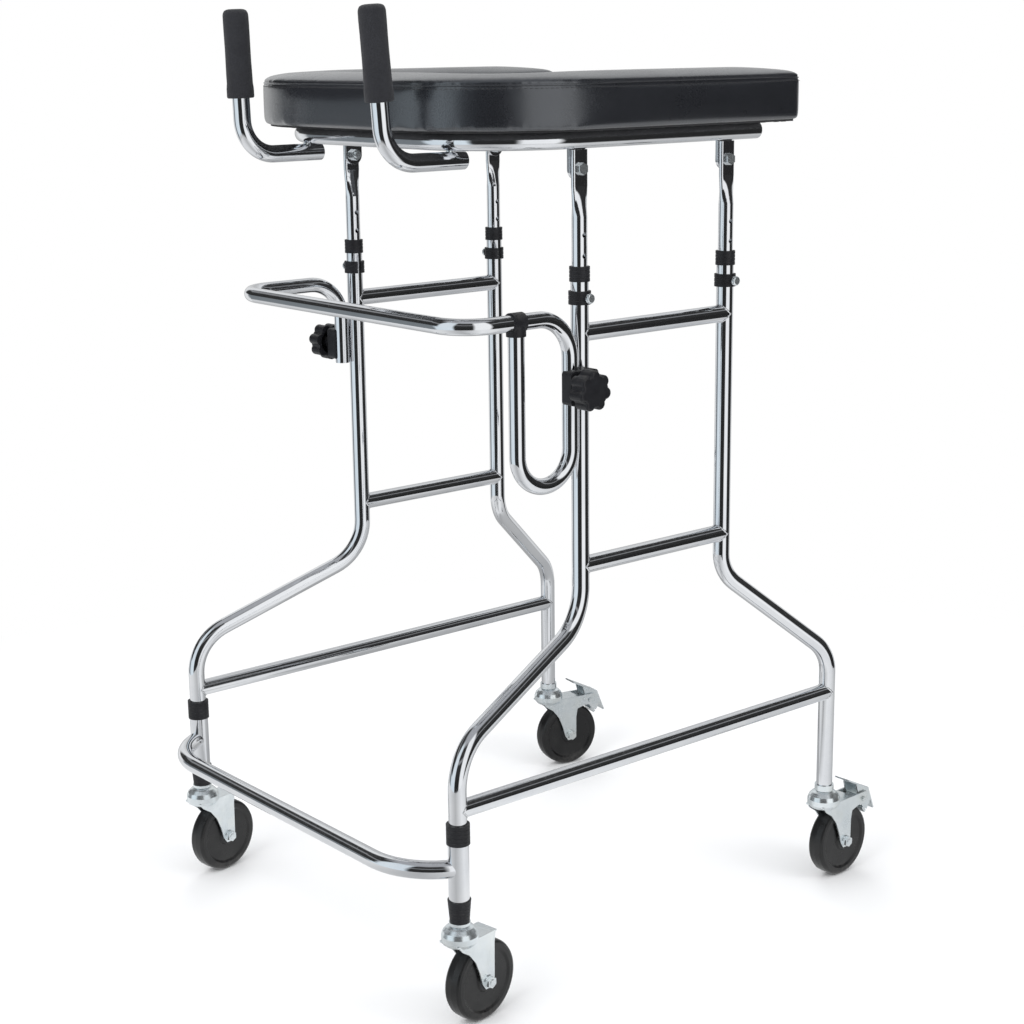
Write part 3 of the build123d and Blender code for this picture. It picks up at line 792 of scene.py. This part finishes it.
# ------------------------------------------------------------------ mesh making
class Workshop:
    """Makes meshes from rings of points."""

    @staticmethod
    def place(name: str, mesh: bmesh.types.BMesh, finish: bpy.types.Material,
              smooth: bool = True) -> bpy.types.Object:
        """Turn a bmesh into an object of the scene.

        Args:
            name: name of the piece.
            mesh: finished bmesh; it is freed.
            finish: material the piece wears.
            smooth: whether faces are shaded smooth.

        Returns:
            The new object.
        """
        bmesh.ops.recalc_face_normals(mesh, faces=mesh.faces[:])
        data = bpy.data.meshes.new(name)
        mesh.to_mesh(data)
        mesh.free()
        for face in data.polygons:
            face.use_smooth = smooth
        data.materials.append(finish)
        piece = bpy.data.objects.new(name, data)
        bpy.context.scene.collection.objects.link(piece)
        return piece

    @staticmethod
    def skin(mesh: bmesh.types.BMesh, rings: Sequence[Sequence[Point]], joined: bool = False,
             lids: bool = True) -> None:
        """Cover rings of equal length with faces.

        Args:
            mesh: bmesh the faces go into.
            rings: rings of points, each one closed.
            joined: whether the last ring meets the first.
            lids: whether the first and last ring get a face each.
        """
        rows = [[mesh.verts.new(p) for p in ring] for ring in rings]
        count = len(rows[0])
        pairs = list(zip(rows, rows[1:])) + ([(rows[-1], rows[0])] if joined else [])
        for low, high in pairs:
            for i in range(count):
                j = (i + 1) % count
                mesh.faces.new((low[i], low[j], high[j], high[i]))
        if lids and not joined:
            mesh.faces.new(rows[0][::-1])
            mesh.faces.new(rows[-1])

    @staticmethod
    def circle(centre: Point, across: Vector, along: Vector, radius: float, sides: int) -> list[Point]:
        """Points of a circle spanned by two unit vectors."""
        step = math.tau / sides
        return [centre + radius * (math.cos(step * i) * across + math.sin(step * i) * along)
                for i in range(sides)]

    @classmethod
    def bead(cls, mesh: bmesh.types.BMesh, line: Sequence[Point], outward: Sequence[Vector],
             radius: Callable[[int], float], sides: int = 8, joined: bool = True) -> None:
        """Run a round bead along a line.

        Args:
            mesh: bmesh the bead goes into.
            line: points of its centre.
            outward: for each point, a direction away from the surface it lies on.
            radius: gives the bead's radius at a point's index.
            sides: faces round the bead.
            joined: whether the line is closed.
        """
        rings = []
        last = len(line) - 1
        for i, centre in enumerate(line):
            after = line[(i + 1) % len(line)] if joined else line[min(i + 1, last)]
            before = line[i - 1] if joined else line[max(i - 1, 0)]
            run = (after - before).normalized()
            out = (outward[i] - run * outward[i].dot(run)).normalized()
            rings.append(cls.circle(centre, out, run.cross(out), radius(i), sides))
        cls.skin(mesh, rings, joined=joined)

    @classmethod
    def turn(cls, mesh: bmesh.types.BMesh, foot: Point, axis: Vector, profile: Sequence[tuple[float, float]],
             sides: int = 48, ripple: float = 0.0) -> None:
        """Turn a profile round an axis.

        Args:
            mesh: bmesh the solid goes into.
            foot: where the axis starts.
            axis: unit direction of the axis.
            profile: radius and distance along the axis, for each ring.
            sides: faces round the axis.
            ripple: how uneven the surface is, in metres.
        """
        across = axis.orthogonal().normalized()
        along = axis.cross(across)
        rings = []
        for radius, reach in profile:
            ring = cls.circle(foot + axis * reach, across, along, radius, sides)
            if ripple > 0.0:
                middle = foot + axis * reach
                ring = [p + (p - middle).normalized() * ripple * noise.noise(p * 55.0) for p in ring]
            rings.append(ring)
        cls.skin(mesh, rings)


# ------------------------------------------------------------------ table cushion
@dataclass
class CushionOutline:
    """U outline of the cushion, worked out from its CAD node."""

    band: float = 0.0505
    corner: float = 0.1255
    rounding: float = 0.006
    spacing: float = 0.006

    def __post_init__(self) -> None:
        """Read the cushion's place from the frame."""
        low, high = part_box("table_cushion")
        self.half = high.x - self.band
        self.front = low.y + self.band
        self.end = high.y
        self.bottom, self.top = low.z, high.z

    def _arc(self, x: float, y: float, radius: float, start: float, stop: float, steps: int,
             hollow: bool = False) -> list[tuple[Point, Vector]]:
        """Points and outward directions of an arc, in degrees, without its last point.

        Args:
            x: middle of the arc.
            y: middle of the arc.
            radius: its radius.
            start: first angle.
            stop: last angle.
            steps: how many points.
            hollow: whether the cushion lies outside the arc.

        Returns:
            Points with the direction away from the cushion.
        """
        found = []
        for i in range(steps):
            angle = math.radians(start + (stop - start) * i / steps)
            away = Vector((math.cos(angle), math.sin(angle), 0.0))
            found.append((Vector((x, y, 0.0)) + away * radius, -away if hollow else away))
        return found

    def _run(self, start: tuple[float, float], stop: tuple[float, float], away: tuple[float, float],
             steps: int) -> list[tuple[Point, Vector]]:
        """Points and outward directions of a straight run, without its last point."""
        a, b = Vector((*start, 0.0)), Vector((*stop, 0.0))
        return [(a.lerp(b, i / steps), Vector((*away, 0.0))) for i in range(steps)]

    def loop(self, inset: float) -> list[tuple[Point, Vector]]:
        """Closed outline of the band, set in from its widest.

        Args:
            inset: distance in from the cushion's side.

        Returns:
            Points at height 0, with the direction away from the cushion at each.
        """
        reach = self.band - inset
        big, small = self.half + reach, self.half - reach
        wide, tight = self.corner + reach, self.corner - reach
        nose, gap = self.front - reach, self.front + reach
        end, nub = self.end - inset, max(self.rounding - inset, 0.003)
        side = int((self.end - self.front) / self.spacing)
        bend = int(self.corner * math.pi / 2 / self.spacing)
        nose_steps = int(2 * (self.half - self.corner) / self.spacing)
        tip = int(2 * self.band / self.spacing)
        return (
            self._run((big, end - nub), (big, nose + wide), (1, 0), side)
            + self._arc(big - wide, nose + wide, wide, 0, -90, bend)
            + self._run((big - wide, nose), (wide - big, nose), (0, -1), nose_steps)
            + self._arc(wide - big, nose + wide, wide, -90, -180, bend)
            + self._run((-big, nose + wide), (-big, end - nub), (-1, 0), side)
            + self._arc(nub - big, end - nub, nub, 180, 90, 6)
            + self._run((nub - big, end), (-small - nub, end), (0, 1), tip)
            + self._arc(-small - nub, end - nub, nub, 90, 0, 6)
            + self._run((-small, end - nub), (-small, gap + tight), (1, 0), side)
            + self._arc(tight - small, gap + tight, tight, -180, -90, bend, hollow=True)
            + self._run((tight - small, gap), (small - tight, gap), (0, 1), nose_steps)
            + self._arc(small - tight, gap + tight, tight, -90, 0, bend, hollow=True)
            + self._run((small, gap + tight), (small, end - nub), (-1, 0), side)
            + self._arc(small + nub, end - nub, nub, 180, 90, 6)
            + self._run((small + nub, end), (big - nub, end), (0, 1), tip)
            + self._arc(big - nub, end - nub, nub, 90, 0, 6)
        )

    def ring(self, inset: float, height: float) -> list[Point]:
        """The outline lifted to a height."""
        return [p + Vector((0.0, 0.0, height)) for p, _ in self.loop(inset)]


@dataclass
class TableCushion:
    """Foam cushion with its sewn cover, piping, stitches and staples."""

    outline: CushionOutline
    slack: float = 0.0010
    drop: float = 0.0030
    edge: float = 0.0070
    sole_lift: float = 0.0012
    voxel: float = 0.005
    pressure: float = 2.6
    frames: int = 10
    cap: float = 0.0055
    seam_drop: float = 0.0115
    seam_width: float = 0.0022
    seam_depth: float = 0.0011
    piping: float = 0.0010
    stitch: float = 0.0040
    pitch: float = 0.0062
    thread: float = 0.00034

    @property
    def seam_height(self) -> float:
        """Height of the seam that joins the top panel to the side."""
        return self.outline.top - self.seam_drop

    def shape(self, finish: bpy.types.Material) -> bpy.types.Object:
        """Build the foam's unswollen form.

        Args:
            finish: material of the cover.

        Returns:
            The object.
        """
        o, arc = self.outline, 5
        base, roof = o.bottom + self.sole_lift, o.top - self.drop
        rings = [o.ring(self.slack + 0.002, base), o.ring(self.slack, base + 0.002)]
        wall = 9
        for i in range(1, wall + 1):
            rings.append(o.ring(self.slack, base + 0.002 + (roof - self.edge - base - 0.002) * i / wall))
        for i in range(1, arc + 1):
            turn = math.pi / 2 * i / arc
            rings.append(o.ring(self.slack + self.edge * (1 - math.cos(turn)),
                                roof - self.edge * (1 - math.sin(turn))))
        mesh = bmesh.new()
        Workshop.skin(mesh, rings)
        return Workshop.place("cushion_cover", mesh, finish)

    def remesh(self, piece: bpy.types.Object) -> None:
        """Even out the mesh with voxels, ready for the cloth.

        Args:
            piece: the cover.
        """
        step = piece.modifiers.new("even", "REMESH")
        step.mode = "VOXEL"
        step.voxel_size = self.voxel
        self._apply(piece)

    def _apply(self, piece: bpy.types.Object) -> None:
        """Replace the mesh by what its modifiers make of it.

        Args:
            piece: object whose modifiers are applied.
        """
        graph = bpy.context.evaluated_depsgraph_get()
        graph.update()
        made = bpy.data.meshes.new_from_object(piece.evaluated_get(graph), depsgraph=graph)
        piece.modifiers.clear()
        piece.data = made

    def inflate(self, piece: bpy.types.Object) -> None:
        """Swell the cover with a cloth simulation, its sole held still.

        Args:
            piece: the cover.
        """
        start = [v.co.copy() for v in piece.data.vertices]
        held = piece.vertex_groups.new(name="sole")
        sole = self.outline.bottom + self.sole_lift + 0.004
        held.add([v.index for v in piece.data.vertices if v.co.z < sole], 1.0, "REPLACE")
        cloth = piece.modifiers.new("cover", "CLOTH")
        settings = cloth.settings
        settings.quality = 3
        settings.mass = 0.25
        settings.tension_stiffness = 22.0
        settings.compression_stiffness = 22.0
        settings.shear_stiffness = 8.0
        settings.bending_stiffness = 9.0
        settings.use_pressure = True
        settings.uniform_pressure_force = self.pressure
        settings.vertex_group_mass = "sole"
        settings.pin_stiffness = 40.0
        settings.effector_weights.gravity = 0.0
        cloth.collision_settings.use_collision = False
        cloth.collision_settings.use_self_collision = False
        cloth.point_cache.frame_start = 1
        cloth.point_cache.frame_end = self.frames
        scene = bpy.context.scene
        for frame in range(1, self.frames + 1):
            scene.frame_set(frame)
        self._apply(piece)
        scene.frame_set(1)
        for vertex, before in zip(piece.data.vertices, start):
            move = vertex.co - before
            if move.length > self.cap:
                vertex.co = before + move.normalized() * self.cap
        piece.vertex_groups.clear()

    def refine(self, piece: bpy.types.Object) -> None:
        """Smooth the voxel steps and subdivide once.

        Args:
            piece: the cover.
        """
        even = piece.modifiers.new("smooth", "SMOOTH")
        even.factor = 0.5
        even.iterations = 9
        finer = piece.modifiers.new("finer", "SUBSURF")
        finer.levels = 1
        finer.render_levels = 1
        self._apply(piece)
        for face in piece.data.polygons:
            face.use_smooth = True

    def sink_seam(self, piece: bpy.types.Object) -> None:
        """Pull the cover in along the seam, and pucker it a little beside the seam.

        Args:
            piece: the cover.
        """
        piece.data.update()
        for vertex in piece.data.vertices:
            normal = vertex.normal
            if abs(normal.z) > 0.75 or vertex.co.z < self.outline.bottom + 0.02:
                continue
            gap = (vertex.co.z - self.seam_height) / self.seam_width
            pull = self.seam_depth * math.exp(-gap * gap)
            ripple = 0.00018 * noise.noise(vertex.co * 140.0) * math.exp(-0.12 * gap * gap)
            vertex.co -= normal * (pull + ripple)

    def hits(self, piece: bpy.types.Object, height: float) -> tuple[list[Point], list[Vector]]:
        """Where a level line meets the cover all the way round.

        Args:
            piece: the finished cover.
            height: height of the line.

        Returns:
            The points on the cover and the direction away from it at each.
        """
        tree = BVHTree.FromPolygons([v.co for v in piece.data.vertices],
                                    [tuple(p.vertices) for p in piece.data.polygons])
        points, ways = [], []
        for flat, away in self.outline.loop(0.0):
            origin = flat + Vector((0, 0, height)) + away * 0.012
            found, _, _, _ = tree.ray_cast(origin, -away, 0.03)
            points.append(found if found is not None else flat + Vector((0, 0, height)))
            ways.append(away)
        return points, ways

    def piping_piece(self, cover: bpy.types.Object, finish: bpy.types.Material) -> bpy.types.Object:
        """Thin piping sewn into the seam.

        Args:
            cover: the finished cover.
            finish: material of the piping.

        Returns:
            The object.
        """
        points, ways = self.hits(cover, self.seam_height)
        line = [p + w * (self.piping * 0.35) for p, w in zip(points, ways)]
        mesh = bmesh.new()
        Workshop.bead(mesh, line, ways, lambda i: self.piping, sides=8)
        return Workshop.place("cushion_piping", mesh, finish)

    def stitches(self, cover: bpy.types.Object, finish: bpy.types.Material) -> bpy.types.Object:
        """Row of stitches below the piping.

        Args:
            cover: the finished cover.
            finish: material of the thread.

        Returns:
            The object.
        """
        points, ways = self.hits(cover, self.seam_height - 0.0038)
        mesh = bmesh.new()
        travel, due = 0.0, 0.0
        for i in range(len(points)):
            a, b = points[i], points[(i + 1) % len(points)]
            length = (b - a).length
            while due < travel + length and length > 1e-6:
                run = (b - a).normalized()
                start = a + run * (due - travel)
                out = ways[i]
                line = [start + run * (self.stitch * t) + out * (self.thread * rise)
                        for t, rise in ((0.0, -0.9), (0.15, 0.5), (0.5, 0.8), (0.85, 0.5), (1.0, -0.9))]
                Workshop.bead(mesh, line, [out] * len(line), lambda k: self.thread, sides=6, joined=False)
                due += self.pitch
            travel += length
        return Workshop.place("cushion_stitches", mesh, finish)

    def staples(self, finish: bpy.types.Material) -> bpy.types.Object:
        """Staples that hold the cover under the board.

        Args:
            finish: material of the staples.

        Returns:
            The object.
        """
        mesh = bmesh.new()
        loop = self.outline.loop(0.0165)
        leg, wire = 0.0048, 0.00055
        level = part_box("table_board")[0].z - 0.0003
        for i in range(3, len(loop), 6):
            (here, away), (there, _) = loop[i], loop[(i + 1) % len(loop)]
            run = (there - here).normalized()
            centre = here + Vector((0, 0, level))
            line = [centre - run * leg + Vector((0, 0, 0.0012)), centre - run * leg,
                    centre + run * leg, centre + run * leg + Vector((0, 0, 0.0012))]
            Workshop.bead(mesh, line, [away] * 4, lambda k: wire, sides=6, joined=False)
        return Workshop.place("cushion_staples", mesh, finish)

    def build(self, palette: Palette) -> list[bpy.types.Object]:
        """Build the whole cushion.

        Args:
            palette: finishes of the frame.

        Returns:
            The cover, piping, stitches and staples.
        """
        cover = self.shape(palette.vinyl)
        self.remesh(cover)
        self.inflate(cover)
        self.refine(cover)
        self.sink_seam(cover)
        cover.data.materials.clear()
        cover.data.materials.append(palette.vinyl)
        extras = [self.piping_piece(cover, palette.vinyl), self.stitches(cover, palette.thread),
                  self.staples(palette.plastic)]
        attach(cover, Ride.TABLE.value)
        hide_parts("table_cushion")
        for piece, slot in zip(extras, (Slot.VINYL, Slot.VINYL, Slot.PLASTIC)):
            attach(piece, Ride.TABLE.value)
        return [cover, *extras]


# ------------------------------------------------------------------ handle grips
@dataclass
class FoamGrip:
    """Foam grip pushed over the leaning upright of a handle."""

    side: Side
    lean: float
    length: float = 0.108
    radius: float = 0.0162
    lip: float = 0.0170
    bore: float = 0.0112
    ripple: float = 0.00022

    def profile(self) -> list[tuple[float, float]]:
        """Radius and distance along the grip, from the bore round to the top.

        Returns:
            The steps of the profile.
        """
        r, n = self.radius, self.length
        return [
            (self.bore - 0.0003, 0.004), (self.bore, 0.0004), (self.bore + 0.001, 0.0),
            (self.lip - 0.0012, 0.0), (self.lip - 0.0003, 0.0008), (self.lip, 0.0022), (self.lip, 0.0115),
            (self.lip - 0.0003, 0.0145), (r + 0.0001, 0.018), (r, 0.030), (r - 0.0002, 0.045),
            (r - 0.0003, 0.060), (r - 0.0002, 0.075), (r - 0.0001, 0.090), (r - 0.0002, n - 0.0075),
            (r - 0.0009, n - 0.0045), (r - 0.0024, n - 0.0020), (r - 0.0050, n - 0.0006),
            (r - 0.0085, n), (0.0035, n + 0.0001),
        ]

    def build(self, palette: Palette) -> bpy.types.Object:
        """Build the grip.

        Args:
            palette: finishes of the frame.

        Returns:
            The object.
        """
        node = f"handle_grip_{self.side.word}"
        low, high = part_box(node)
        lean = math.radians(self.lean)
        axis = Vector((0.0, -math.sin(lean), math.cos(lean)))
        foot = (low + high) / 2 - axis * (self.length / 2)
        mesh = bmesh.new()
        Workshop.turn(mesh, foot, axis, self.profile(), sides=64, ripple=self.ripple)
        grip = Workshop.place(f"foam_grip_{self.side.word}", mesh, palette.foam)
        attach(grip, f"handle_{self.side.word}")
        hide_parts(node)
        return grip


# ------------------------------------------------------------------ welds of the side frames
@dataclass
class SideFrameWelds:
    """Plated weld beads where the cross bars meet the uprights."""

    tube: float = 0.011
    bead: float = 0.0014
    sink: float = 0.0004
    steps: int = 72

    def saddle(self, centre: Point, post: Vector, run: Vector) -> tuple[list[Point], list[Vector]]:
        """Line in which a bar meets a post of the same size.

        Args:
            centre: where the two centre lines cross.
            post: unit direction of the post.
            run: unit direction of the bar, away from the post.

        Returns:
            Points of the line and the direction away from both tubes at each.
        """
        across = post.cross(run)
        points, ways = [], []
        for i in range(self.steps):
            angle = math.tau * i / self.steps
            side, up = self.tube * math.cos(angle), self.tube * math.sin(angle)
            reach = math.sqrt(max(self.tube ** 2 - side ** 2, 0.0))
            off_bar = (across * side + post * up).normalized()
            off_post = (across * side + run * max(reach, 1e-5)).normalized()
            way = (off_bar + off_post).normalized()
            points.append(centre + across * side + post * up + run * reach - way * self.sink)
            ways.append(way)
        return points, ways

    def swelling(self, index: int) -> float:
        """Radius of the bead at a step, with the ripples of the weld pool."""
        return self.bead * (1.0 + 0.16 * math.cos(math.tau * index / 4.0))

    def joints(self) -> list[tuple[Point, Vector]]:
        """Every crossing of a bar and an upright, with the bar's direction.

        Returns:
            The crossings, each with a direction.
        """
        found = []
        for side in Side:
            for level in ("top", "middle", "low"):
                low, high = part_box(f"side_bar_{level}_{side.word}")
                x, z = (low.x + high.x) / 2, (low.z + high.z) / 2
                found.append((Vector((x, low.y, z)), Vector((0, 1, 0))))
                found.append((Vector((x, high.y, z)), Vector((0, -1, 0))))
        return found

    def build(self, palette: Palette) -> bpy.types.Object:
        """Build every bead as one piece.

        Args:
            palette: finishes of the frame.

        Returns:
            The object.
        """
        mesh = bmesh.new()
        for centre, run in self.joints():
            points, ways = self.saddle(centre, Vector((0, 0, 1)), run)
            Workshop.bead(mesh, points, ways, self.swelling, sides=8)
        piece = Workshop.place("weld_beads", mesh, palette.weld)
        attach(piece, Ride.FRAME.value)
        return piece


# ------------------------------------------------------------------ studio
@dataclass
class Studio:
    """Floor, soft light, surround and camera."""

    eye: tuple[float, float, float] = (1.97964, -1.64396, 1.15348)
    heading: float = 50.40
    dip: float = 13.62
    roll: float = -0.70
    lens: float = 68.235
    floor_radius: float = 1.60
    walls: tuple[tuple[float, ...], ...] = (
        (-180, 0.42), (-162, 0.52), (-142, 0.88), (-125, 0.82), (-117, 0.24, 0.15), (-97, 0.24, 0.15),
        (-88, 0.86, 0.16), (-41, 0.94, 0.16),
        (-34, 0.025), (11, 0.02), (19, 1.0), (57, 1.0), (66, 0.02), (117, 0.025), (128, 0.80), (160, 0.55),
        (180, 0.42))
    upper_walls: tuple[tuple[float, ...], ...] = (
        (-180, 0.55), (-157, 0.85), (-147, 0.80), (-140, 0.03), (-86, 0.03), (-78, 0.90, 0.14),
        (-41, 0.90, 0.14), (-34, 0.03),
        (11, 0.03), (19, 1.0), (57, 1.0), (64, 0.03), (134, 0.03), (144, 0.85), (180, 0.55))

    def camera(self) -> bpy.types.Object:
        """Set up the camera.

        Returns:
            The camera object.
        """
        a, e, r = (math.radians(v) for v in (self.heading, self.dip, self.roll))
        look = Vector((-math.sin(a) * math.cos(e), math.cos(a) * math.cos(e), -math.sin(e)))
        right = Vector((math.cos(a), math.sin(a), 0.0))
        up = right.cross(look)
        x = math.cos(r) * right + math.sin(r) * up
        y = -math.sin(r) * right + math.cos(r) * up
        data = bpy.data.cameras.new("camera")
        data.lens = self.lens
        data.sensor_width = 36.0
        camera = bpy.data.objects.new("camera", data)
        bpy.context.scene.collection.objects.link(camera)
        turn = Matrix((x, y, -look)).transposed().to_4x4()
        camera.matrix_world = Matrix.Translation(Vector(self.eye)) @ turn
        bpy.context.scene.camera = camera
        return camera

    def floor(self, palette: Palette) -> bpy.types.Object:
        """Round floor.

        Args:
            palette: finishes of the frame.

        Returns:
            The floor object.
        """
        mesh = bmesh.new()
        ring = Workshop.circle(Vector((0, 0, -0.0002)), Vector((1, 0, 0)), Vector((0, 1, 0)),
                               self.floor_radius, 96)
        mesh.faces.new([mesh.verts.new(p) for p in ring])
        floor = Workshop.place("floor", mesh, palette.floor)
        return floor

    def lamp(self, name: str, place: tuple[float, float, float], size: float, power: float) -> None:
        """Square soft lamp aimed at the middle of the frame.

        Args:
            name: name of the lamp.
            place: where it hangs.
            size: side of the square, in metres.
            power: power, in watts.
        """
        data = bpy.data.lights.new(name, "AREA")
        data.size = size
        data.energy = power
        lamp = bpy.data.objects.new(name, data)
        lamp.location = place
        aim = Vector((0, 0, 0.6)) - Vector(place)
        lamp.rotation_euler = aim.to_track_quat("-Z", "Y").to_euler()
        lamp.visible_glossy = False
        bpy.context.scene.collection.objects.link(lamp)

    def world(self) -> None:
        """White background, with dark and light walls that only shine in polished metal."""
        world = bpy.data.worlds.new("studio")
        world.use_nodes = True
        world.node_tree.nodes.clear()
        g = Graph(world.node_tree)
        place = g.add("TexCoord").outputs["Generated"]
        share = g.bearing(place, math.atan2(self.eye[1], self.eye[0]))
        height = g.add("SeparateXYZ", {0: place}).outputs["Z"]
        low, high = g.wheel(share, self.walls), g.wheel(share, self.upper_walls)
        walls = g.mix(g.spread(height, 0.02, 0.10, 0.0, 1.0), low, high)
        strip = g.math("ABSOLUTE", g.math("SUBTRACT", height, 0.50))
        walls = g.mix(g.spread(strip, 0.03, 0.07, 0.28, 0.0), walls, (0.85, 0.87, 0.90))
        ceiling = g.mix(g.spread(height, 0.80, 0.90, 0.0, 1.0), walls, (0.40, 0.41, 0.43))
        lower = g.mix(g.spread(height, -0.60, -0.48, 1.0, 0.0), ceiling, (0.62, 0.62, 0.62))
        rays = g.add("LightPath")
        mirrored = g.mix(rays.outputs["Is Glossy Ray"], (0.86, 0.87, 0.88), lower)
        seen = g.mix(rays.outputs["Is Camera Ray"], mirrored, (1.0, 1.0, 1.0))
        light = g.add("Background", {"Color": seen, "Strength": 1.0})
        g.add("OutputWorld", {"Surface": light.outputs[0]})
        bpy.context.scene.world = world

    def build(self, palette: Palette) -> None:
        """Set up the whole studio.

        Args:
            palette: finishes of the frame.
        """
        self.camera()
        self.floor(palette)
        self.lamp("key lamp", (0.6, -2.6, 2.6), 1.6, 42.0)
        self.lamp("side lamp", (2.8, 1.2, 1.9), 1.4, 22.0)
        self.lamp("back lamp", (-2.4, 1.8, 2.4), 1.6, 22.0)
        self.world()
        bpy.context.scene.view_settings.view_transform = "Standard"


def dress_nodes(frame: dict, palette: Palette) -> int:
    """Give every CAD node its finish.

    Args:
        palette: finishes of the frame.

    Returns:
        How many nodes were dressed.
    """
    slots = {row["node"]: row["material_slot"] for row in frame["record"]["subparts"]}
    for name, node in frame["nodes"].items():
        node.data.materials.clear()
        node.data.materials.append(palette.for_node(name, slots[name]))
    return len(frame["nodes"])


def main() -> None:
    """Dress the frame and add every soft piece and piece of trim."""
    logging.basicConfig(level=logging.INFO, format="%(name)s: %(message)s")
    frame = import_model()
    palette = Palette(Effects())
    LOG.info("dressed %d nodes", dress_nodes(frame, palette))
    for piece in TableCushion(CushionOutline()).build(palette):
        LOG.info("made %s, %d faces", piece.name, len(piece.data.polygons))
    for side, lean in ((Side.LEFT, 4.2), (Side.RIGHT, 1.5)):
        grip = FoamGrip(side, lean).build(palette)
        LOG.info("made %s, %d faces", grip.name, len(grip.data.polygons))
    welds = SideFrameWelds().build(palette)
    LOG.info("made %s, %d faces", welds.name, len(welds.data.polygons))
    Studio().build(palette)


if __name__ == "__main__":
    main()
